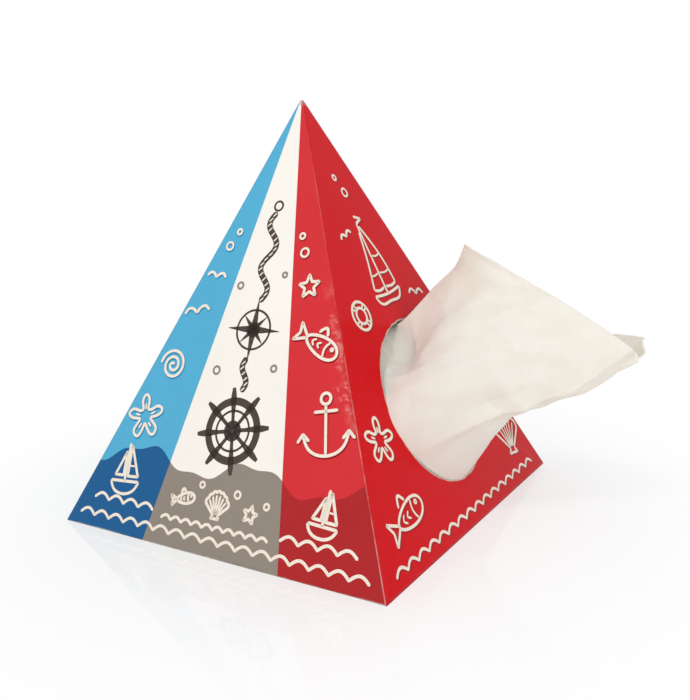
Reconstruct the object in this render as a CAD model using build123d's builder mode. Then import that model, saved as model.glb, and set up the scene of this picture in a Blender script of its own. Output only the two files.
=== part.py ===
"""Pyramid tissue box: a folded card carton, the stack of folded tissues in it and the tissue drawn out.

Millimetres, +Z up. The origin is the middle of the base's underside; the panel with the opening faces +X.
"""

import os
from math import atan2, cos, degrees, hypot, radians, sin, tan

from build123d import *

# Carton
base_side = 150.0  # side of the square base, outside
height = 165.0  # base to the point where the four side panels would meet
card = 0.5  # thickness of the folding boxboard
fold_radius = 0.5  # outside radius of the folds between side panels
base_fold_radius = 0.5  # outside radius of the folds round the base panel
tip_land = 0.1  # flat left between the folds at the blunt tip
cavity_tip_cut = 1.2  # height lost at the tip inside, where the panel points meet
opening_diameter = 66.6  # round opening for the tissues
opening_rise = 51.3  # centre of the opening, up the panel from its bottom edge
opening_shift = 4.2  # centre of the opening, off the panel's middle towards +Y
nick_count = 22  # card nicks left round the opening by its torn perforation
nick_width = 0.9
nick_depth = 0.35
flap_height = 16.0  # glue flaps of the base panel, up the inside of three side panels
flap_end_gap = 2.4  # flap end to the fold beside it, at the bottom
seam_flap_width = 13.0  # glue flap of the upright seam
seam_flap_start = 24.0  # up the panel from its bottom edge
seam_flap_tip_gap = 23.0  # down the panel from its point

# Stack of folded tissues
stack_height = 49.5
stack_front = 22.0  # front of the stack, ahead of the middle of the base
stack_wall_gap = 1.7  # top of the stack to the side panels, measured level
stack_gap = 0.1  # stack to the base panel
stack_round = 3.0

# Tissue drawn out through the opening
tissue_thickness = 0.4
tissue_gap = 0.5  # root of the drawn tissue to the stack
rim_gap = 1.2  # drawn tissue to the edge of the opening, where it leans on it
neck_gap = 4.8  # the same at the top and on the far side, where it falls inwards
shoulder_depth = 8.0  # behind the panel, where the tissue turns down to the stack
drawn_length = 100.0  # tissue clear of the stack, half of a 200 mm square sheet

# Worked-out sizes
half = base_side / 2
tilt = degrees(atan2(half, height))  # lean of the side panels from upright
slant = hypot(half, height)
wall = card / cos(radians(tilt))  # card thickness measured level
inner_half = half - wall
inner_height = height * inner_half / half
opening_radius = opening_diameter / 2
seam_flap_end = slant - seam_flap_tip_gap
tip_cut = height * (2 * fold_radius + tip_land) / base_side
stack_side = inner_half * (1 - (card + stack_gap + stack_height) / inner_height) - stack_wall_gap
panel_side = Vector(cos(radians(tilt)), 0, sin(radians(tilt)))


def panel_plane(turn, depth):
    """Plane of the side panel turned from +X about Z, depth mm under its outer face, with Y up the panel."""
    out = panel_side.rotate(Axis.Z, turn)
    foot = Vector(half, 0, 0).rotate(Axis.Z, turn)
    return Plane(origin=foot - out * depth, x_dir=Vector(0, 1, 0).rotate(Axis.Z, turn), z_dir=out)


def rim_point(angle, inset, depth=0.0):
    """Point inset from the opening's edge, at an angle from the level line, and depth mm behind the card."""
    reach = opening_radius - inset
    across = opening_shift + reach * cos(radians(angle))
    up = opening_rise + reach * sin(radians(angle))
    return panel_plane(0, card / 2 + depth).from_local_coords(Vector(across, up, 0))


def root_point(across, up):
    """Point on the front of the stack, in shares of the opening's radius and the stack's height."""
    return Vector(stack_front + tissue_gap, across * opening_radius, up * stack_height)


def drawn_point(ahead, across, up):
    """Point outside the opening, in hundredths of the drawn length from the opening's centre."""
    return rim_point(0, opening_radius) + Vector(ahead, across, up) * (drawn_length / 100)


# Cavity of the carton, a sharp pyramid standing on the base panel
with BuildPart() as cavity:
    with BuildSketch(Plane.XY.offset(card)):
        cavity_side = 2 * inner_half * (1 - card / inner_height)
        Rectangle(cavity_side, cavity_side)
    extrude(amount=inner_height - card - cavity_tip_cut, taper=tilt)

# Carton: four side panels, the base panel under them and the glue flaps
with BuildPart() as carton:
    with BuildSketch(Plane.XY):
        Rectangle(base_side, base_side)
    extrude(amount=height - tip_cut, taper=tilt)
    upright_folds = [e for e in carton.edges() if abs(e.tangent_at(0.5).Z) > 0.5]
    fillet(upright_folds, radius=fold_radius)
    add(cavity.part, mode=Mode.SUBTRACT)

    # Glue flaps of the base panel, each against the inside of a side panel
    flap_foot = (card + card * sin(radians(tilt))) / cos(radians(tilt))
    for turn in (0, 90, 180):
        with BuildSketch(panel_plane(turn, card)):
            with BuildLine():
                foot_half = inner_half - flap_end_gap
                top_half = foot_half - flap_height
                Polyline(
                    (-foot_half, flap_foot),
                    (foot_half, flap_foot),
                    (top_half, flap_height),
                    (-top_half, flap_height),
                    close=True,
                )
            make_face()
        extrude(amount=-card)

    # Glue flap of the upright seam, inside the panel opposite the opening
    with BuildSketch(panel_plane(180, card)):
        with BuildLine():
            lean = half / slant
            low = -half + lean * seam_flap_start + 1.0
            high = -half + lean * seam_flap_end + 1.0
            low_end = seam_flap_start + seam_flap_width
            high_end = seam_flap_end - seam_flap_width
            Polyline(
                (low, seam_flap_start),
                (high, seam_flap_end),
                (high - lean * seam_flap_width + seam_flap_width * 0.6, high_end),
                (low + lean * seam_flap_width + seam_flap_width, low_end),
                close=True,
            )
        make_face()
    extrude(amount=-card)

    # Rounded folds of the base panel: outside at its hinge, inside as fine seams at its three flaps
    reach = base_fold_radius / tan(radians(90 - tilt) / 2)
    for turn, fold_at, fold_half in (
        (270, half, half),
        (0, inner_half, inner_half - flap_end_gap),
        (90, inner_half, inner_half - flap_end_gap),
        (180, inner_half, inner_half - flap_end_gap),
    ):
        fold_plane = Plane(
            origin=Vector(fold_at, 0, 0).rotate(Axis.Z, turn),
            x_dir=Vector(1, 0, 0).rotate(Axis.Z, turn),
            z_dir=Vector(0, -1, 0).rotate(Axis.Z, turn),
        )
        with BuildSketch(fold_plane):
            with BuildLine():
                on_base = (-reach, 0)
                on_panel = (-reach * sin(radians(tilt)), reach * cos(radians(tilt)))
                TangentArc(on_base, on_panel, tangent=(1, 0))
                Polyline(on_panel, (0, 0), on_base)
            make_face()
        extrude(amount=fold_half, both=True, mode=Mode.SUBTRACT)

    # Round opening with the nicks of its torn perforation
    with BuildSketch(panel_plane(0, card * 2)):
        with Locations((opening_shift, opening_rise)):
            Circle(opening_radius)
            with PolarLocations(opening_radius - nick_depth / 2, nick_count):
                Rectangle(nick_depth * 1.6, nick_width, mode=Mode.SUBTRACT)
    extrude(amount=card * 3, mode=Mode.SUBTRACT)

# Stack of folded tissues standing on the base panel, its folds towards the opening
with BuildPart() as tissue_stack:
    with BuildSketch(Plane.XY.offset(card + stack_gap)):
        with Locations(((stack_front - stack_side) / 2, 0)):
            Rectangle(stack_front + stack_side, 2 * stack_side)
    extrude(amount=stack_height)
    fillet(tissue_stack.edges(), radius=stack_round)

# Tissue drawn out as a trough. Its lines run from the stack up to the back of the opening, straight out
# through it and on to the free edge.
front_edge = [root_point(0.30, 0.93), rim_point(86, 0, shoulder_depth), rim_point(86, rim_gap)]
front_edge += [drawn_point(-2.5, 1, 42), drawn_point(7.5, -4, 52.5), drawn_point(19, -10, 62)]
front_upper = [root_point(-0.12, 0.89), rim_point(112, neck_gap, shoulder_depth)]
front_upper += [rim_point(118, 1.5 * neck_gap)]
front_upper += [drawn_point(9.5, -12, 32.5), drawn_point(22.5, -9, 42), drawn_point(36.5, -7, 51.5)]
front_belly = [root_point(-0.45, 0.79), rim_point(164, rim_gap, shoulder_depth), rim_point(164, rim_gap)]
front_belly += [drawn_point(21.5, -23, 19.5), drawn_point(39.5, -13, 29.5), drawn_point(55.5, -4, 40.5)]
crease = [root_point(-0.45, 0.63), rim_point(212, 2 * rim_gap, shoulder_depth), rim_point(210, rim_gap)]
crease += [drawn_point(32.5, -15, -0.5), drawn_point(53.5, -5, 10), drawn_point(72.5, 0, 29.5)]
bottom_fold = [root_point(-0.06, 0.53), rim_point(270, 3 * rim_gap, shoulder_depth), rim_point(275, rim_gap)]
bottom_fold += [drawn_point(31.5, 0, -6.5), drawn_point(57, 3, 8), drawn_point(78, 4, 22.5)]
back_belly = [root_point(0.39, 0.61), rim_point(330, neck_gap, shoulder_depth), rim_point(330, neck_gap)]
back_belly += [drawn_point(32.5, 20, 3.5), drawn_point(54, 18, 13.5), drawn_point(72, 13, 26)]
back_edge = [root_point(0.66, 0.85), rim_point(398, neck_gap, shoulder_depth), rim_point(398, neck_gap)]
back_edge += [drawn_point(10.5, 25, 23.5), drawn_point(31, 26, 26), drawn_point(52, 24, 27)]
lines = (front_edge, front_upper, front_belly, crease, bottom_fold, back_belly, back_edge)
line_knots = [0, 0.24, 0.38, 0.62, 0.81, 1]  # the lines' points, at the same shares of every line
guides = [Edge.make_spline(line, parameters=line_knots) for line in lines]
sections = [Spline(*[guide @ (i / 6) for guide in guides]) for i in range(7)]
net = [[section @ (j / 8) for j in range(9)] for section in sections]
drawn_surface = Face.make_surface_from_array_of_points(net, tol=0.05, min_deg=3, max_deg=3)
with BuildPart() as pulled_tissue:
    thicken(drawn_surface, amount=tissue_thickness)

carton.part.label = "carton"
tissue_stack.part.label = "tissue_stack"
pulled_tissue.part.label = "pulled_tissue"

os.makedirs("parts", exist_ok=True)
export_step(carton.part, "parts/carton.step")
export_step(tissue_stack.part, "parts/tissue_stack.step")
export_step(pulled_tissue.part, "parts/pulled_tissue.step")
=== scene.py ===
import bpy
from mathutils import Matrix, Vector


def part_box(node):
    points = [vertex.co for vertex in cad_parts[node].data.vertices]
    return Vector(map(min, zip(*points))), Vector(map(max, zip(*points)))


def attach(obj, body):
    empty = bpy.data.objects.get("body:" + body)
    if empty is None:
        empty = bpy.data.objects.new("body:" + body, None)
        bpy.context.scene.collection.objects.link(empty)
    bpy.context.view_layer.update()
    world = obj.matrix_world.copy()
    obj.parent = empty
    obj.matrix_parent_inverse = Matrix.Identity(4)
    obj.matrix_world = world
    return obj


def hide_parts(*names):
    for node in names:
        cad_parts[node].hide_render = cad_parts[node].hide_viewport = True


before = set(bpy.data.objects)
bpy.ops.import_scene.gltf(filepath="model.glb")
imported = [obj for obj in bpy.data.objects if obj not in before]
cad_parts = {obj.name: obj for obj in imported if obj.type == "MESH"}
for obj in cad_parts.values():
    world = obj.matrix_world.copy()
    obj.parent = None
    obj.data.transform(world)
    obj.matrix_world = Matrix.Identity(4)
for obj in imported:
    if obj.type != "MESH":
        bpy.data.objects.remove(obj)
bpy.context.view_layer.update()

from math import hypot

import bpy
import numpy as np
from mathutils import Matrix

# Carton: one blank of white-lined folding boxboard, printed and gloss varnished outside, creased,
# folded into a pyramid and glued along its flaps. The round opening is torn out along a perforation,
# so its edge shows raw board. It stays as it is in the frame and gets its print here.
half, height = 0.075, 0.165  # half the side of the base, and the height at which the panels would meet
slant = hypot(half, height)
rise, run = height / slant, half / slant  # how far one metre up a panel goes upwards and inwards
opening_radius = 0.0333
opening_rise, opening_shift = 0.0513, 0.0042  # its centre, up the panel and off its middle towards +Y


def linear(code):
    """sRGB hex to linear RGBA: c / 12.92 below 0.04045, else ((c + 0.055) / 1.055) to the power 2.4."""
    c = np.array([int(code[i : i + 2], 16) for i in (1, 3, 5)]) / 255
    c = np.where(c <= 0.04045, c / 12.92, ((c + 0.055) / 1.055) ** 2.4)
    return (*(float(v) for v in c), 1.0)


def wire(tree, kind, inputs=(), out=0, **settings):
    """Adds a node: settings are its own, inputs are sockets to link or values to set. Gives one output."""
    made = tree.nodes.new(kind)
    for name, value in settings.items():
        setattr(made, name, value)
    for key, value in inputs.items() if isinstance(inputs, dict) else enumerate(inputs):
        if isinstance(value, bpy.types.NodeSocket):
            tree.links.new(value, made.inputs[key])
        elif value is not None:
            made.inputs[key].default_value = value
    return made.outputs[out]


def new_finish(name, values):
    """Material with values set on its shader's own sockets. Gives the material, its tree and its shader."""
    made = bpy.data.materials.new(name)
    made.use_nodes = True
    shader = made.node_tree.nodes["Principled BSDF"]
    for socket, value in values.items():
        shader.inputs[socket].default_value = value
    return made, made.node_tree, shader


# Gloss-varnished print on boxboard: saturated ink under a clear film, with soft lights that the board's
# slight waves break up. Cut edges and the inside are bare board, matt and off-white. The scale of each
# noise is 1000 over the size of its marks in mm. Fibres and orange peel are drawn about 1 mm wide, coarser
# than real ones, so that they show. Map Range takes a value, the two ends that it runs between, and the
# two that it gives. Sockets 0, 6 and 7 of a Mix are its share and its two colours.
varnish = {"Specular IOR Level": 0.08, "IOR": 1.5}
boxboard, tree, shader = new_finish("gloss_varnished_printed_boxboard", varnish)
rgba = {"out": 2, "data_type": "RGBA"}

# Which points lie on the outside of a panel, and on which panel
ink_depth = 0.0002
place = wire(tree, "ShaderNodeTexCoord", out="Object")
x, y, z = wire(tree, "ShaderNodeSeparateXYZ", [place]).node.outputs
across_x = wire(tree, "ShaderNodeMath", [x], operation="ABSOLUTE")
across_y = wire(tree, "ShaderNodeMath", [y], operation="ABSOLUTE")
reach = wire(tree, "ShaderNodeMath", [across_x, across_y], operation="MAXIMUM")
level = wire(tree, "ShaderNodeMath", [z, run, -half * rise], operation="MULTIPLY_ADD")
depth = wire(tree, "ShaderNodeMath", [reach, rise, level], operation="MULTIPLY_ADD")
printed = wire(tree, "ShaderNodeMath", [depth, -ink_depth], operation="GREATER_THAN")
away_y = wire(tree, "ShaderNodeMath", [y, -1.0], operation="MULTIPLY")
on_front = wire(tree, "ShaderNodeMath", [away_y, across_x], operation="GREATER_THAN")
on_right = wire(tree, "ShaderNodeMath", [x, across_y], operation="GREATER_THAN")
on_back = wire(tree, "ShaderNodeMath", [y, across_x], operation="GREATER_THAN")

# Three bands that meet at the tip, in the shares 2, 3 and 2 of the panel's width
pale_half = half * 3 / 7
shrink = wire(tree, "ShaderNodeMath", [z, -pale_half / height, pale_half], operation="MULTIPLY_ADD")
left_of = wire(tree, "ShaderNodeMath", [shrink, -1.0], operation="MULTIPLY")
in_blue = wire(tree, "ShaderNodeMath", [x, left_of], operation="LESS_THAN")
in_red = wire(tree, "ShaderNodeMath", [x, shrink], operation="GREATER_THAN")

# Dark sea along the bottom: its top edge is a level plus two sine waves
sea = 0.029
for wave_long, wave_tall in ((0.052, 0.0036), (0.019, 0.0011)):
    wave = wire(tree, "ShaderNodeMath", [x, 2 * np.pi / wave_long], operation="MULTIPLY")
    wave = wire(tree, "ShaderNodeMath", [wave], operation="SINE")
    sea = wire(tree, "ShaderNodeMath", [wave, wave_tall, sea], operation="MULTIPLY_ADD")
in_sea = wire(tree, "ShaderNodeMath", [z, sea], operation="LESS_THAN")

# Inks: the three bands and the dark sea on the front panel, and one ink on each other panel
cream, blue, red, right_red = linear("#f2ede5"), linear("#54abcf"), linear("#cf3237"), linear("#cd0714")
dark_cream, dark_blue, dark_red = linear("#8f857b"), linear("#1f5c90"), linear("#ab282b")
bands = []
for middle_ink, left_ink, right_ink in ((cream, blue, red), (dark_cream, dark_blue, dark_red)):
    band = wire(tree, "ShaderNodeMix", {0: in_blue, 6: middle_ink, 7: left_ink}, **rgba)
    bands.append(wire(tree, "ShaderNodeMix", {0: in_red, 6: band, 7: right_ink}, **rgba))
front_ink = wire(tree, "ShaderNodeMix", {0: in_sea, 6: bands[0], 7: bands[1]}, **rgba)
side_ink = wire(tree, "ShaderNodeMix", {0: on_right, 6: blue, 7: right_red}, **rgba)
side_ink = wire(tree, "ShaderNodeMix", {0: on_back, 6: side_ink, 7: cream}, **rgba)
ink = wire(tree, "ShaderNodeMix", {0: on_front, 6: side_ink, 7: front_ink}, **rgba)
solid_ink = wire(tree, "ShaderNodeTexNoise", {"Vector": place, "Scale": 1000 / 28, "Detail": 2.0})
solid_ink = wire(tree, "ShaderNodeMapRange", [solid_ink, 0.3, 0.7, 0.97, 1.01])
ink = wire(tree, "ShaderNodeVectorMath", {0: ink, "Scale": solid_ink}, operation="SCALE")

# Ink rubbed pale in patches along the folds, most of all low down
rough_noise = {"Vector": place, "Detail": 5.0, "Roughness": 0.7}
off_fold = wire(tree, "ShaderNodeMath", [across_x, across_y], operation="SUBTRACT")
off_fold = wire(tree, "ShaderNodeMath", [off_fold], operation="ABSOLUTE")
near_fold = wire(tree, "ShaderNodeMapRange", [off_fold, 0.0004, 0.00015, 0.0, 1.0])
near_low = wire(tree, "ShaderNodeMapRange", [z, 0.0009, 0.0004, 0.0, 1.0])
near_low = wire(tree, "ShaderNodeMath", [near_low, on_front], operation="MULTIPLY")
near_fold = wire(tree, "ShaderNodeMath", [near_fold, near_low], operation="MAXIMUM")
patches = wire(tree, "ShaderNodeTexNoise", {**rough_noise, "Scale": 1000 / 22})
patches = wire(tree, "ShaderNodeMapRange", [patches, 0.44, 0.7, 0.05, 0.6])
low_down = wire(tree, "ShaderNodeMapRange", [z, 0.05, 0.1, 1.0, 0.25])
rubbed = wire(tree, "ShaderNodeMath", [near_fold, patches], operation="MULTIPLY")
rubbed = wire(tree, "ShaderNodeMath", [rubbed, low_down], operation="MULTIPLY")
ink = wire(tree, "ShaderNodeMix", {0: rubbed, 6: ink, 7: linear("#e6ddd2")}, **rgba)

# Film crackled by a dent beside the front fold, in pale pink patches that are partly a painted highlight of
# the dent's gloss, and a worn tip
dent_height = 0.072
crackle_and_painted_glint = wire(tree, "ShaderNodeTexNoise", {**rough_noise, "Scale": 1000 / 6})
crackle_and_painted_glint = wire(tree, "ShaderNodeMapRange", [crackle_and_painted_glint, 0.5, 0.62, 0.0, 0.4])
beside = wire(tree, "ShaderNodeMapRange", [off_fold, 0.005, 0.001, 0.0, 1.0])
right_half = wire(tree, "ShaderNodeMath", [x, 0.0], operation="GREATER_THAN")
dented = wire(tree, "ShaderNodeMath", [z, dent_height], operation="SUBTRACT")
dented = wire(tree, "ShaderNodeMath", [dented], operation="ABSOLUTE")
dented = wire(tree, "ShaderNodeMapRange", [dented, 0.028, 0.012, 0.0, 1.0])
for mask in (on_front, right_half, beside, dented):
    crackle_and_painted_glint = wire(tree, "ShaderNodeMath", [crackle_and_painted_glint, mask], operation="MULTIPLY")
# Pale pink: crackled film, and in part a painted glint of gloss on the dent
ink = wire(tree, "ShaderNodeMix", {0: crackle_and_painted_glint, 6: ink, 7: linear("#eda9a0")}, **rgba)
at_tip = wire(tree, "ShaderNodeMapRange", [z, 0.1612, 0.1638, 0.0, 0.7])
ink = wire(tree, "ShaderNodeMix", {0: at_tip, 6: ink, 7: linear("#a5a29d")}, **rgba)

# Ink broken off along the torn perforation, which leaves a fine pale line round the opening
sideways = wire(tree, "ShaderNodeMath", [y, opening_shift], operation="SUBTRACT")
upwards = wire(tree, "ShaderNodeMath", [z, 1 / rise, -opening_rise], operation="MULTIPLY_ADD")
from_middle = wire(tree, "ShaderNodeCombineXYZ", [sideways, upwards])
from_middle = wire(tree, "ShaderNodeVectorMath", [from_middle], out="Value", operation="LENGTH")
torn = wire(tree, "ShaderNodeTexNoise", {"Vector": place, "Scale": 1000 / 4, "Detail": 3.0})
torn = wire(tree, "ShaderNodeMath", [torn, -0.0011, from_middle], operation="MULTIPLY_ADD")
torn_ends = [opening_radius + 0.00005, opening_radius - 0.0002]
torn = wire(tree, "ShaderNodeMapRange", [torn, *torn_ends, 0.0, 0.85])
torn = wire(tree, "ShaderNodeMath", [torn, on_right], operation="MULTIPLY")
ink = wire(tree, "ShaderNodeMix", {0: torn, 6: ink, 7: linear("#ece2d8")}, **rgba)

# Bare board where the print ends, and the gloss of the film, which lies unevenly
fibre = wire(tree, "ShaderNodeTexNoise", {"Vector": place, "Scale": 1000 / 1.1, "Detail": 4.0})
bare = wire(tree, "ShaderNodeMix", {0: fibre, 6: linear("#cfc6b8"), 7: linear("#e9e3d8")}, **rgba)
surface = wire(tree, "ShaderNodeMix", {0: printed, 6: bare, 7: ink}, **rgba)
tree.links.new(surface, shader.inputs["Base Color"])
film = wire(tree, "ShaderNodeTexNoise", {"Vector": place, "Scale": 1000 / 17, "Detail": 3.0})
film = wire(tree, "ShaderNodeMapRange", [film, 0.3, 0.7, 0.12, 0.2])
gloss = wire(tree, "ShaderNodeMix", {0: printed, 2: 0.85, 3: film})
tree.links.new(gloss, shader.inputs["Roughness"])

# Card crushed in beside the middle of the front fold, deepest at the fold and uneven along it
crush = wire(tree, "ShaderNodeMapRange", [off_fold, 0.016, 0.0, 0.0, 1.0])
crush = wire(tree, "ShaderNodeMath", [crush, 2.0], operation="POWER")
lumps = wire(tree, "ShaderNodeTexNoise", {"Vector": place, "Scale": 1000 / 14, "Detail": 3.0})
lumps = wire(tree, "ShaderNodeMapRange", [lumps, 0.3, 0.7, 0.5, 1.0])
for mask in (on_front, right_half, dented, lumps):
    crush = wire(tree, "ShaderNodeMath", [crush, mask], operation="MULTIPLY")

# Relief, one on the other: rounded folds, the crush, the board's waves and the film's orange peel
board_wave = 1000 / 42
waves = wire(tree, "ShaderNodeTexNoise", {"Vector": place, "Scale": board_wave, "Detail": 1.0})
peel = wire(tree, "ShaderNodeTexNoise", {"Vector": place, "Scale": 1000 / 0.7, "Detail": 2.0})
relief = wire(tree, "ShaderNodeBevel", {"Radius": 0.0016}, samples=6)
for bump, strength, distance in ((crush, 1.0, -0.0035), (waves, 0.35, 0.0009), (peel, 0.25, 0.00002)):
    sockets = {"Height": bump, "Strength": strength, "Distance": distance, "Normal": relief}
    relief = wire(tree, "ShaderNodeBump", sockets)
tree.links.new(relief, shader.inputs["Normal"])
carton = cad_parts["carton"]
carton.data.materials.clear()
carton.data.materials.append(boxboard)


# Printed drawings: offset ink under the varnish, cream lines with a darker edge on the coloured fields, and
# grey-brown ones in the pale band. Ink has no thickness to see, so each drawing lies a few hundredths of a
# millimetre above the card. Drawings are set out in mm on the panel, from the middle of its bottom edge.
def spline(points, at, knot, bow=1.0):
    """Natural cubic spline through points at their knots: the straight run between two points, plus bow
    times the cubic that their second derivatives give. Those come from one tridiagonal system."""
    p = np.asarray(points, float)
    flat = p.reshape(len(p), -1)
    h = np.diff(knot)
    system = np.diag(np.r_[1, 2 * (h[:-1] + h[1:]), 1])
    system += np.diag(np.r_[h[:-1], 0], -1) + np.diag(np.r_[0, h[1:]], 1)
    slope = np.diff(flat, axis=0) / h[:, None]
    none = np.zeros((1, flat.shape[1]))
    bend = np.linalg.solve(system, np.vstack([none, 6 * np.diff(slope, axis=0), none]))
    i = np.clip(np.searchsorted(knot, at) - 1, 0, len(h) - 1)
    w, g = ((at - knot[i]) / h[i])[:, None], h[i][:, None]
    straight = flat[i] * (1 - w) + flat[i + 1] * w
    cubic = ((1 - w) ** 3 - (1 - w)) * bend[i] + (w**3 - w) * bend[i + 1]
    return (straight + bow * cubic * g**2 / 6).reshape(len(at), *p.shape[1:])


def curve(points, smooth=True, closed=False, step=0.4):
    """Points every step mm along a line: a natural cubic spline on chord length, or straight runs."""
    p = np.asarray(points, float)
    if closed:
        p = np.vstack([p, p[:1]])
    if smooth and closed:
        p = np.vstack([p[-4:-1], p, p[1:4]])
    knot = np.concatenate([[0], np.cumsum(np.hypot(*np.diff(p, axis=0).T) + 1e-9)])
    low, high = (knot[3], knot[-4]) if smooth and closed else (knot[0], knot[-1])
    at = np.linspace(low, high, max(6, int((high - low) / step) + 1))
    if not smooth or len(p) < 3:
        return np.stack([np.interp(at, knot, p[:, k]) for k in (0, 1)], 1)
    return spline(p, at, knot)


def stroke(points, width, smooth=True, closed=False):
    """A line's two edges, half its width to either side, with round ends; width may change along it."""
    p = curve(points, smooth, closed)
    t = np.gradient(p, axis=0)
    if closed:
        t[0] = t[-1] = p[1] - p[-2]
    t /= np.hypot(*t.T)[:, None] + 1e-12
    run_at = np.concatenate([[0], np.cumsum(np.hypot(*np.diff(p, axis=0).T))])
    share = run_at / run_at[-1]
    w = np.interp(share, np.linspace(0, 1, np.size(width)), np.atleast_1d(width)) / 2
    if not closed and np.size(width) == 1:
        end = np.clip(np.minimum(run_at, run_at[-1] - run_at) / w, 0, 1)
        w = w * np.sqrt(1 - (1 - end) ** 2 * 0.96)
    side = np.stack([-t[:, 1], t[:, 0]], 1) * w[:, None]
    return np.stack([p - side, p + side], 1)


def put(shapes, at=(0, 0), size=1.0, turn=0.0):
    """Drawing moved to its place: each point is turned, scaled and shifted on the panel."""
    c, s = np.cos(np.radians(turn)), np.sin(np.radians(turn))
    m = np.array([[c, s], [-s, c]]) * size
    return [(np.asarray(points, float) @ m + at, *how) for points, *how in shapes]


def add_mesh(name, points, faces, finish, smooth=False):
    """Object at the origin, from an array of points in metres, a list of faces and one material."""
    mesh = bpy.data.meshes.new(name)
    mesh.from_pydata(points.reshape(-1, 3).tolist(), [], faces)
    mesh.polygons.foreach_set("use_smooth", np.full(len(mesh.polygons), smooth))
    mesh.materials.append(finish)
    made = bpy.data.objects.new(name, mesh)
    bpy.context.scene.collection.objects.link(made)
    return made


def print_on(name, panel, strokes, lift, finish, shift=(0, 0), grow=0.0):
    """Strokes as one thin mesh: panel (u, v) goes to the face, lift mm outwards along its normal. Triangles
    that a tight bend turns over, whose sides have a negative cross product, are turned back."""
    corners, faces, base = [], [], 0
    for points, width, *how in strokes:
        edge = stroke(np.asarray(points, float) + shift, np.asarray(width) + grow, *how)
        i = base + 2 * np.arange(len(edge) - 1)
        faces += [np.stack([i, i + 2, i + 3], 1), np.stack([i, i + 3, i + 1], 1)]
        corners.append(edge.reshape(-1, 2))
        base += 2 * len(edge)
    corners, faces = np.vstack(corners), np.vstack(faces)
    one, other = (corners[faces[:, k]] - corners[faces[:, 0]] for k in (1, 2))
    turned = one[:, 0] * other[:, 1] < one[:, 1] * other[:, 0]
    faces[turned] = faces[turned, ::-1]
    u, v = corners.T / 1000
    out = v * run - half - lift / 1000 * rise
    up = v * rise + lift / 1000 * run
    points = np.stack([u, out, up] if panel == "front" else [-out, u, up], 1)
    piece = add_mesh(name, points, faces.tolist(), finish)
    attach(piece, "root")


def varnished_ink(name, code):
    """Offset ink under the same clear film as the card round it, with a faint speckle where it lies thin."""
    made, tree, shader = new_finish(name, {**varnish, "Roughness": 0.3})
    place = wire(tree, "ShaderNodeTexCoord", out="Object")
    speck = wire(tree, "ShaderNodeTexNoise", {"Vector": place, "Scale": 1000 / 0.9, "Detail": 2.0})
    speck = wire(tree, "ShaderNodeMapRange", [speck, 0.3, 0.7, 0.9, 1.0])
    tint = wire(tree, "ShaderNodeVectorMath", {0: linear(code)[:3], "Scale": speck}, operation="SCALE")
    tree.links.new(tint, shader.inputs["Base Color"])
    waves = wire(tree, "ShaderNodeTexNoise", {"Vector": place, "Scale": board_wave, "Detail": 1.0})
    waves = wire(tree, "ShaderNodeBump", {"Height": waves, "Strength": 0.35, "Distance": 0.0009})
    tree.links.new(waves, shader.inputs["Normal"])
    return made


# The motifs, about their own middles. Each stroke is its points, its width in mm, and whether it is smooth
# and closed. Most motifs are one unit in radius and get their size where they are put.
line = 1.15
angle = np.linspace(0, 2 * np.pi, 25)[:-1]
circle = np.stack([np.cos(angle), np.sin(angle)], 1)
bubble = [(circle, 0.9, True, True)]
gull = [
    ([(-1, 0), (-0.62, 0.36), (-0.24, 0.24), (0, -0.04)], line),
    ([(1, 0.06), (0.6, 0.4), (0.22, 0.26), (0, -0.04)], line),
]
point = np.arange(10) * np.pi / 5
star_reach = np.where(np.arange(10) % 2, 0.44, 1.0)
star = [(np.stack([np.sin(point), np.cos(point)], 1) * star_reach[:, None], line, False, True)]
arm = np.pi / 2 + np.arange(5) * 0.4 * np.pi
starfish = [
    (circle * (0.66 + 0.34 * np.cos(5 * (angle - np.pi / 2)))[:, None], line, True, True),
    *[(np.outer([0.32, 0.6], [np.cos(a), np.sin(a)]), 0.8) for a in arm],
]
wind = np.linspace(0.6, 16, 40)
spiral = [(np.stack([np.cos(wind), np.sin(wind)], 1) * (wind / wind[-1])[:, None], line)]
belly = 0.42 * np.sin(angle) * (0.82 + 0.18 * np.cos(angle))
fish = [
    (np.stack([0.25 + 0.75 * np.cos(angle), belly], 1), line, True, True),
    ([(-0.5, 0.03), (-1.0, 0.36), (-0.86, 0.0), (-1.0, -0.36), (-0.5, -0.03)], line, False),
    ([(0.52, 0.3), (0.42, 0.0), (0.52, -0.3)], 0.9),
    (circle * 0.055 + (0.72, 0.11), 0.8, True, True),
    ([(0.2, 0.12), (0.06, 0.0), (0.2, -0.12)], 0.8),
    ([(-0.06, 0.14), (-0.2, 0.0), (-0.06, -0.14)], 0.8),
    ([(0.28, 0.42), (0.08, 0.66), (-0.14, 0.38)], line),
]
anchor = [
    ([(0, -0.8), (0, 0.6)], line),
    (circle * 0.16 + (0, 0.78), line, True, True),
    ([(-0.4, 0.42), (0.4, 0.42)], line),
    ([(-0.74, -0.24), (-0.58, -0.6), (0, -0.84), (0.58, -0.6), (0.74, -0.24)], line),
    ([(-0.94, -0.42), (-0.75, -0.18), (-0.54, -0.4)], line, False),
    ([(0.94, -0.42), (0.75, -0.18), (0.54, -0.4)], line, False),
]
tie = np.add.outer(np.arange(4) * np.pi / 2 + 0.7, (-0.2, 0.2)).ravel()
ring = [
    (circle, line, True, True),
    (circle * 0.56, line, True, True),
    *[(np.outer([0.56, 1.0], [np.cos(a), np.sin(a)]), 0.9) for a in tie],
]
fan = np.radians(np.linspace(20, 160, 43))
scallop = 1.0 + 0.07 * np.abs(np.sin((fan - fan[0]) / (fan[-1] - fan[0]) * 7 * np.pi))
fan_edge = np.stack([np.cos(fan) * scallop, np.sin(fan) * scallop * 1.25 - 0.45], 1)
rib = np.radians([40, 60, 80, 100, 120, 140])
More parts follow.
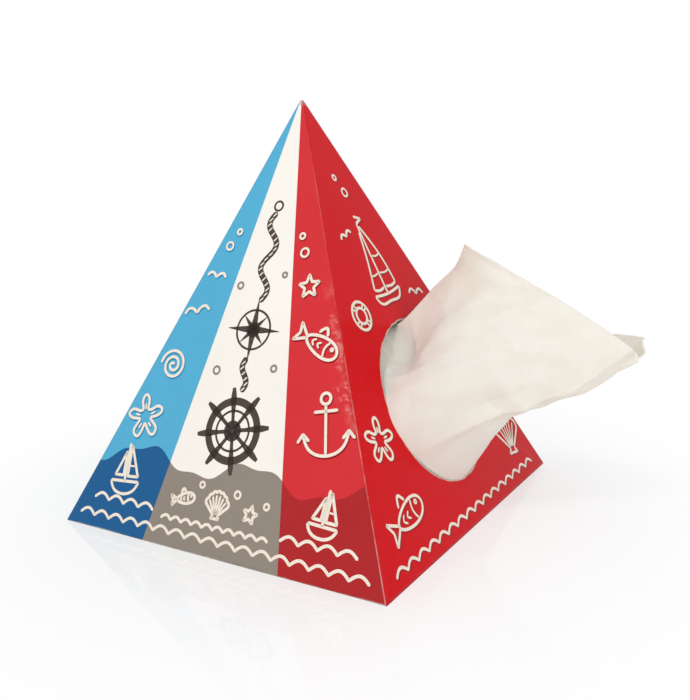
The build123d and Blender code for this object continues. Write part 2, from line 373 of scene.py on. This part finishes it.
shell = [
    (np.vstack([[(0.16, -0.72)], fan_edge, [(-0.16, -0.72)]]), line, False),
    ([(-0.16, -0.72), (-0.34, -0.92), (0.34, -0.92), (0.16, -0.72)], line, False),
    *[([(0.12 * np.cos(a), -0.66), (0.9 * np.cos(a), 1.08 * np.sin(a) - 0.45)], 0.85) for a in rib],
]
yacht = [
    ([(-19, 0), (-15.5, -6), (0, -7.2), (15, -6.2), (20, 0.8)], line),
    ([(-19, 0), (0, -1.2), (20, 0.8)], line),
    ([(0, -1), (0, 57)], line),
    ([(1.8, 4.5), (10, 3.6), (17.5, 5.2)], line),
    ([(17.5, 5.2), (14.5, 24), (8, 42), (1.6, 54.5)], line),
    ([(-1.8, 50), (-7, 30), (-16.5, 4.8)], line),
    ([(-16.5, 4.8), (-9, 3.2), (-1.8, 4.4)], line),
    ([(1.4, 16), (9, 15), (16.2, 16.4)], 0.8),
    ([(1.4, 30), (7, 29), (12.6, 30.4)], 0.8),
    ([(-1.4, 16), (-7, 15), (-12.8, 15.8)], 0.8),
    ([(0, 57), (8.5, 60), (0, 63)], line, False),
]
dinghy = [
    ([(-8, 0), (-6, -3.4), (6, -3.4), (8.4, 0.3)], line),
    ([(-8, 0), (8.4, 0.3)], line),
    ([(0, 0), (0, 17)], line),
    ([(1.4, 2.4), (7.4, 2.6), (1.2, 16)], line, False, True),
    ([(-1.2, 13), (-6, 2.6), (-1.2, 2.6)], line, False, True),
    ([(1.6, 7), (5.2, 7)], 0.7),
]
spoke = [1.5, 1.5, 1.5, 2.0, 2.8, 2.4, 1.4]
wheel = [
    (circle * 0.68, 3.0, True, True),
    (circle * 0.46, 0.9, True, True),
    (circle * 0.12, 4.0, True, True),
    *[(np.outer([0.05, 1.0], way), spoke, False) for way in circle[::3]],
]
compass = [
    (circle * 0.64, 0.9, True, True),
    (circle * 0.2, 1.2, True, True),
    *[(np.outer([0.0, 1.0], way), [3.4, 0.3], False) for way in circle[::6]],
    *[(np.outer([0.0, 0.6], way), [2.6, 0.3], False) for way in circle[3::6]],
]


def swell(low, high, at, long=8.0, tall=2.3):
    """Row of wave crests: height is tall times the size of a sine, so that each crest ends in a cusp."""
    u = np.arange(low, high + 0.01, 0.4)
    return (np.stack([u, at + tall * np.abs(np.sin(np.pi * (u - low) / long))], 1), line, False)


def rope(low, high, sway, long):
    """Rope hanging up the panel: its middle is a sine of the height, sway mm to either side."""
    v = np.arange(low, high + 0.01, 1.0)
    return np.stack([sway * np.sin(2 * np.pi * (v - low) / long), v], 1)


front_blue = [
    *put(starfish, (-44.5, 47), 9.0, 12),
    *put(spiral, (-36, 69), 6.4, -20),
    *put(gull, (-29.5, 91), 6.2, 10),
    *put(gull, (-23.5, 106), 4.8, -6),
    *put(bubble, (-20, 119), 1.6),
    *put(bubble, (-16.5, 125), 1.1),
]
front_red = [
    *put(anchor, (40, 54), 12.5, 12),
    *put(fish, (29.5, 83), 10.0, -24),
    *put(star, (21.5, 104), 4.6, 10),
    *put(bubble, (16.5, 117), 1.7),
    *put(bubble, (14, 123.5), 1.1),
]
front_sea = [
    swell(-68, 68, 5.0),
    swell(-62, -30, 12.0),
    swell(30, 62, 12.0),
    *put(dinghy, (-48, 20.5), 0.9, 3),
    *put(dinghy, (46, 20), 0.75, -4),
    swell(-25.5, 25.5, 10.2, 5.1, 1.6),
    *put(shell, (0, 19.5), 5.6, 0),
    *put(fish, (-16.5, 19), 5.6, 14),
    *put(star, (15.5, 18.5), 3.4, -8),
    *put(bubble, (-8.6, 25.5), 1.1),
    *put(bubble, (8.4, 24.5), 1.3),
    *put(bubble, (22.0, 22.5), 1.1),
]
right_drawings = [
    *put(fish, (-45, 19), 12.5, 10),
    *put(starfish, (-42, 47), 8.5, -14),
    *put(shell, (52.5, 23), 11.0, -8),
    *put(yacht, (3, 97), 0.52, 4),
    *put(ring, (-21.5, 91), 5.6, 0),
    *put(gull, (24.5, 93), 5.6, -10),
    *put(gull, (-9.5, 122), 4.4, 14),
    *put(bubble, (2, 140), 1.7),
    *put(bubble, (-1, 146.5), 1.1),
    swell(-64, 64, 4.5),
]
under, over = 0.02, 0.035  # mm above the card
edge_shift, edge_grow = (0.35, -0.4), 0.35  # the darker edge lies lower, to the right, and is wider
cream_ink = varnished_ink("cream_offset_ink", "#f2e6d6")
deep_blue_ink = varnished_ink("deep_blue_offset_ink", "#2580ab")
deep_red_ink = varnished_ink("deep_red_offset_ink", "#8e161c")
for name, panel, drawing, edge_ink in (
    ("drawings_on_blue", "front", front_blue, deep_blue_ink),
    ("drawings_on_red", "front", front_red, deep_red_ink),
    ("drawings_on_side", "right", right_drawings, deep_red_ink),
):
    print_on(name + "_edge", panel, drawing, under, edge_ink, edge_shift, edge_grow)
    print_on(name, panel, drawing, over, cream_ink)
print_on("drawings_on_sea", "front", front_sea, over, cream_ink)

# Ship's wheel, compass star and rope, one above the other in the pale band
rope_low, rope_high = rope(62, 75, 1.6, 13), rope(97, 133, 2.6, 18)
lay_at = np.vstack([rope_low[1:-1:2], rope_high[1:-1:2]])
pale_band = [
    (rope_low, 2.6),
    (rope_high, 2.6),
    *put(wheel, (0, 47), 16.5, 11),
    *put(compass, (0, 86), 12.0, 0),
    *put(bubble, (0, 135.6), 1.9),
]
pale_dots = [
    *put(bubble, (-13.5, 69), 1.5),
    *put(bubble, (13.0, 72), 1.2),
    *put(bubble, (-10.5, 103), 1.3),
    *put(bubble, (9.5, 108), 1.0),
]
rope_lay = [([p - 0.8, p + 0.8], 0.55) for p in lay_at]
print_on("wheel_and_compass", "front", pale_band, under, varnished_ink("grey_brown_offset_ink", "#4f453e"))
print_on("grey_dots", "front", pale_dots, under, varnished_ink("warm_grey_offset_ink", "#8d8379"))
print_on("rope_lay", "front", rope_lay, over, cream_ink)


# Stack of tissues: two-ply sheets folded small and interleaved, standing on the base with their folds
# towards the opening. Each fold shows as a soft ridge, and the block's edges are rounded.
def pleated_block(low, high, round_off, pitch, ridge, n=150, m=96):
    """Rounded block: a sphere grid pushed out to the box and rounded, with ridges of a sine along X on its
    top and sides, deepest where the surface faces Y or Z."""
    mid, size = (low + high) / 2, (high - low) / 2 - ridge
    turn = np.linspace(0, 2 * np.pi, n, endpoint=False)
    tilt = np.linspace(0, np.pi, m)
    a, b = np.meshgrid(turn, tilt, indexing="ij")
    d = np.stack([np.cos(b), np.sin(b) * np.cos(a), np.sin(b) * np.sin(a)], -1)
    core = size - round_off
    q = np.sign(d) * np.abs(d) ** 0.22
    q = q / np.abs(q).max(-1, keepdims=True)
    p = q * core + d / (np.abs(d) ** 6).sum(-1, keepdims=True) ** (1 / 6) * round_off
    ply = np.sin(2 * np.pi * p[..., 0] / pitch)
    ply += 0.5 * np.sin(2 * np.pi * p[..., 0] / (pitch * 2.7) + 3 * d[..., 1])
    p[..., 1:] += d[..., 1:] * (ply * ridge * 0.6)[..., None]
    return mid + p


def tissue_paper(name, pale, deep):
    """Creped two-ply tissue: matt, soft white with a warm cast, fine creping and a faint cloudy pulp. The
    creping is drawn 1.1 mm wide, about three times as coarse as real, so that it shows."""
    soft_paper = {
        "Roughness": 0.92,
        "Specular IOR Level": 0.2,
        "Sheen Weight": 0.1,
        "Subsurface Weight": 0.5,
        "Subsurface Radius": (1.0, 0.9, 0.8),
        "Subsurface Scale": 0.0008,
    }
    made, tree, shader = new_finish(name, soft_paper)
    place = wire(tree, "ShaderNodeTexCoord", out="Object")
    cloud = wire(tree, "ShaderNodeTexNoise", {"Vector": place, "Scale": 1000 / 8, "Detail": 4.0})
    tint = wire(tree, "ShaderNodeMix", {0: cloud, 6: linear(deep), 7: linear(pale)}, **rgba)
    tree.links.new(tint, shader.inputs["Base Color"])
    creping = {"Vector": place, "Scale": 1000 / 1.1, "Detail": 3.0, "Roughness": 0.6}
    crepe = wire(tree, "ShaderNodeTexNoise", creping)
    crepe = wire(tree, "ShaderNodeBump", {"Height": crepe, "Strength": 0.35, "Distance": 0.00012})
    tree.links.new(crepe, shader.inputs["Normal"])
    return made


stack_low, stack_high = (np.array(corner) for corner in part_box("tissue_stack"))
block = pleated_block(stack_low, stack_high, round_off=0.004, pitch=0.0024, ridge=0.0004)
points = np.vstack([block[:, 1:-1].reshape(-1, 3), block[:, [0, -1]].mean(0)])
n, m = block.shape[0], block.shape[1] - 2
i, j = np.meshgrid(np.arange(n), np.arange(m - 1), indexing="ij")
k = (i + 1) % n
quads = np.stack([i * m + j, i * m + j + 1, k * m + j + 1, k * m + j], -1).reshape(-1, 4)
i, k = i[:, 0] * m, k[:, 0] * m
front_pole = np.stack([np.full(n, n * m), i, k], -1)
back_pole = np.stack([i + m - 1, np.full(n, n * m + 1), k + m - 1], -1)
faces = quads.tolist() + front_pole.tolist() + back_pole.tolist()
stacked_finish = tissue_paper("stacked_creped_tissue", "#ece7de", "#ddd6ca")
folded = add_mesh("folded_tissues", points, faces, stacked_finish, smooth=True)
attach(folded, "root")
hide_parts("tissue_stack")

# Drawn tissue: the outer half of a 200 mm square two-ply tissue, pulled out of the stack through the
# opening. It stands as a trough, creased along its bottom, with one free corner up at the front.
root, shoulder = 22.5, 8.0  # mm: the front of the stack, and how far behind the card the tissue turns down
half_card = 0.25


def rim(turn, inset, depth=0.0):
    """Point inset mm from the opening's edge, turn degrees round from the level line, depth mm behind it."""
    reach, a = opening_radius * 1000 - inset, np.radians(turn)
    u, v = opening_shift * 1000 + reach * np.cos(a), opening_rise * 1000 + reach * np.sin(a)
    inwards = half_card + depth
    return (half * 1000 - v * run - inwards * rise, u, v * rise - inwards * run)


# Lines of the sheet in mm, from the stack through the opening to the free edge: first the front edge, then
# round the trough by its front wall, its creased bottom and its back wall to the back edge
tissue_lines = np.array(
    [
        [(root, 10, 46), rim(80, -2, shoulder), rim(96, 0.8)]
        + [(52, 5.5, 88.5), (64.5, 2.2, 99), (72.3, -6, 108.6)],
        [(root, -4, 44), rim(108, -2, shoulder), rim(118, 6.8)]
        + [(63, -8, 79), (77, -5, 88.5), (90, -3, 98)],
        [(root, -15, 39), rim(164, 0, shoulder), rim(164, 0.9)]
        + [(75, -19, 66), (93, -9, 76), (109.2, 0, 87)],
        [(root, -15, 32), rim(207, 1, shoulder), rim(207, 0.6)]
        + [(82.5, -12, 46.5), (107.5, 0.5, 55.6), (129, 6.5, 72.6)],
        [(root, -9, 28), rim(241, 1, shoulder), rim(241, 0.4)]
        + [(84, -6, 45), (109.5, 3, 55), (129.5, 7, 71.5)],
        [(root, 0, 26), rim(279, 1, shoulder), rim(279, 0.4)]
        + [(87, 5, 45.5), (112, 8, 53.5), (131.5, 8, 69)],
        [(root, 13, 30), rim(330, 5, shoulder), rim(330, 6)]
        + [(86, 22, 55), (108, 22, 63), (131.2, 15, 74.6)],
        [(root, 22, 42), rim(398, 5, shoulder), rim(398, 5)]
        + [(64, 29, 70), (86, 29, 72.5), (107.5, 26, 72)],
    ]
)
line_bow = [0.5, 1.0, 1.0, 0.5, 0.1, 0.1, 1.0, 1.0]  # the front edge and the bottom folds run straighter


def chord_knots(points):
    """Knots from 0 to 1 along the first axis, spaced by the mean distance from each row to the next."""
    gaps = np.linalg.norm(np.diff(points, axis=0), axis=-1).mean(-1)
    return np.concatenate([[0], np.cumsum(gaps)]) / gaps.sum()


# The sheet before its wrinkles. Straight runs round the trough take over from smooth ones towards the free
# edge, so its folds turn crisp there.
n_out, n_round = 176, 250
t, s = np.linspace(0, 1, n_out), np.linspace(0, 1, n_round)
rows = tissue_lines.transpose(1, 0, 2)
guides = spline(rows, t, chord_knots(rows), np.repeat(line_bow, 3)).transpose(1, 0, 2)
s_knot = chord_knots(guides)
crisp = 0.62 * np.clip((t - 0.34) / 0.4, 0, 1)
sheet_at = spline(guides, s, s_knot, np.repeat(1 - crisp, 3)).transpose(1, 0, 2)
normal = np.cross(np.gradient(sheet_at, axis=0), np.gradient(sheet_at, axis=1))
normal /= np.linalg.norm(normal, axis=-1, keepdims=True)


def wrinkles(table, t, s, girth=230):
    """Sum of folds over the sheet, in mm. Each runs straight from (t0, s0) to (t1, s1), fades at both ends as
    a sine, and falls off from its crest as 1 / cosh(distance / width), where s counts as girth mm."""
    t0, s0, t1, s1, width, tall = np.array(table).T[:, :, None, None]
    share = np.clip((t[:, None] - t0) / (t1 - t0), 0, 1)
    off = np.abs(s[None, :] - s0 - (s1 - s0) * share) * girth
    return (tall * np.sin(np.pi * share) ** 0.7 / np.cosh(off / width)).sum(0)


def facets(table, t, s, length=120, girth=130):
    """Sum of crumples over the sheet, in mm. Each is a triangle wave, arcsin(sin(phase)), whose phase runs
    across its folds and drifts slowly, so that no two facets are alike. They fade towards the stack and
    towards the front edge, and t and s count as length and girth mm."""
    turn, long, tall = np.array(table).T[:, :, None, None]
    out, round_at = t[:, None] * length, s[None, :] * girth
    across = out * np.cos(np.radians(turn)) + round_at * np.sin(np.radians(turn))
    drift = 1.6 * np.sin(round_at / 7.5 + turn) + 1.4 * np.sin(out / 6 + 2 * turn)
    share = 0.55 + 0.45 * np.sin(out / 8.5 + round_at / 11.5 + turn)
    fade = np.clip((t[:, None] - 0.36) / 0.2, 0, 1) * np.clip(s[None, :] / 0.22, 0.1, 1)
    return (tall * share * np.arcsin(np.sin(2 * np.pi * across / long + drift))).sum(0) * fade


# Folds as t0, s0, t1, s1, width and height in mm, and crumples as direction in degrees, length and height
crease = s_knot[3]
fold_table = [
    (0.33, crease, 1.10, crease, 2.2, -1.3),
    (0.36, crease + 0.035, 0.72, crease + 0.03, 2.0, 0.9),
    (0.42, 0.33, 1.04, 0.49, 8.0, -1.1),
    (0.28, 0.26, 0.52, 0.25, 2.0, -0.8),
    (0.29, 0.15, 0.45, 0.13, 7.0, 4.5),
    (0.41, 0.12, 0.66, 0.15, 4.5, -0.6),
    (0.45, 0.12, 1.02, 0.07, 4.5, 0.6),
    (0.42, 0.18, 1.02, 0.20, 5.0, -0.5),
    (0.50, 0.26, 1.02, 0.33, 5.5, 0.5),
    (0.36, 0.05, 0.95, 0.02, 3.5, -0.4),
    (0.35, 0.70, 0.90, 0.68, 4.0, 0.9),
    (0.35, 0.82, 1.00, 0.84, 6.0, 0.9),
]
crumple_table = [(24, 27, 0.66), (-38, 21, 0.52), (74, 17, 0.4), (-71, 12, 0.24)]
lift = wrinkles(fold_table, t, s) + facets(crumple_table, t, s)
sheet_at = (sheet_at + normal * lift[..., None]) / 1000
i, j = np.meshgrid(np.arange(n_out - 1), np.arange(n_round - 1), indexing="ij")
k = i * n_round + j
quads = np.stack([k, k + n_round, k + n_round + 1, k + 1], -1).reshape(-1, 4)
drawn_finish = tissue_paper("drawn_creped_tissue", "#ede9df", "#e2ddd1")
drawn = add_mesh("drawn_tissue", sheet_at, quads.tolist(), drawn_finish, smooth=True)
plies = drawn.modifiers.new("two_plies", "SOLIDIFY")
plies.thickness = 0.00025
plies.offset = 0.0
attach(drawn, "root")
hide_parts("pulled_tissue")


# Floor: white acrylic sheet, smooth enough to mirror the foot of the box faintly. It fades to plain white
# away from the box for what the camera and gloss see. It isn't part of the object.
def seen(tree):
    """1 for what the camera sees, straight, in gloss or through a clear thing, and 0 for other light."""
    ways = wire(tree, "ShaderNodeLightPath").node.outputs
    eye = wire(tree, "ShaderNodeMath", [ways["Is Camera Ray"], ways["Is Glossy Ray"]], operation="MAXIMUM")
    return wire(tree, "ShaderNodeMath", [eye, ways["Is Transmission Ray"]], operation="MAXIMUM")


acrylic = {"Base Color": linear("#fdfdfd"), "Roughness": 0.06, "Specular IOR Level": 0.7}
table_top, tree, shader = new_finish("white_acrylic_sheet", acrylic)
place = wire(tree, "ShaderNodeTexCoord", out="Object")
far = wire(tree, "ShaderNodeVectorMath", {0: place}, out="Value", operation="LENGTH")
fade = wire(tree, "ShaderNodeMapRange", [far, 0.08, 0.2, 0.45, 1.0], interpolation_type="SMOOTHSTEP")
fade = wire(tree, "ShaderNodeMath", [fade, seen(tree)], operation="MULTIPLY")
white = wire(tree, "ShaderNodeEmission", {"Color": (1, 1, 1, 1), "Strength": 1.0})
shown = wire(tree, "ShaderNodeMixShader", [fade, shader.outputs[0], white])
tree.links.new(shown, tree.nodes["Material Output"].inputs["Surface"])
floor_corners = 3.0 * np.array([(-1, -1, 0), (1, -1, 0), (1, 1, 0), (-1, 1, 0)])
floor = add_mesh("floor", floor_corners, [(0, 1, 2, 3)], table_top)

# Light: an even white surround, a small bright lamp high in front and a large soft one low on the right.
world = bpy.data.worlds.new("studio")
bpy.context.scene.world = world
world.use_nodes = True
tree = world.node_tree
ground = tree.nodes["Background"]
ground.inputs["Color"].default_value = (1, 1, 1, 1)
glow = wire(tree, "ShaderNodeMapRange", [seen(tree), 0.0, 1.0, 0.72, 1.0])
tree.links.new(glow, ground.inputs["Strength"])


def level_right(back):
    """Level direction to the right of a lamp or camera: Z crossed with the way its back faces, as a unit."""
    right = np.cross([0, 0, 1], back)
    return right / np.linalg.norm(right)


def stand(name, data, at, back, right):
    """Lamp or camera at a place, with X to its right, Z out of its back and Y their cross product."""
    holder = bpy.data.objects.new(name, data)
    turn = np.eye(4)
    turn[:3] = np.stack([right, np.cross(back, right), back, at], 1)
    holder.matrix_world = Matrix(turn.tolist())
    bpy.context.scene.collection.objects.link(holder)
    return holder


aim = np.array([0.0, 0.0, 0.07])
for name, at, size, power in (
    ("key_lamp", (0.05, -0.66, 0.82), 0.16, 1.7),
    ("side_lamp", (0.8, -0.8, 0.25), 0.9, 4.8),
):
    lamp = bpy.data.lights.new(name, "AREA")
    lamp.size = size
    lamp.energy = power
    back = (at - aim) / np.linalg.norm(at - aim)
    stand(name, lamp, at, back, level_right(back))

# Camera: 12 degrees above the table, turned 32 degrees to the side of the opening, and rolled 2 degrees.
az, el, roll = np.radians([32.307, 12.024, -2.167])
distance, aside, above = 0.37124, 0.01106, 0.06108  # m from the origin: backwards, to its right and upwards
focal, frame_height = 850, 700  # px
back = np.array([np.sin(az) * np.cos(el), -np.cos(az) * np.cos(el), np.sin(el)])
right = np.cos(roll) * level_right(back) + np.sin(roll) * np.cross(back, level_right(back))
lens = bpy.data.cameras.new("camera")
lens.sensor_width = 36.0
lens.lens = focal / frame_height * lens.sensor_width
place = back * distance + right * aside + np.cross(back, right) * above
camera = stand("camera", lens, place, back, right)
bpy.context.scene.camera = camera
bpy.context.scene.view_settings.view_transform = "Standard"
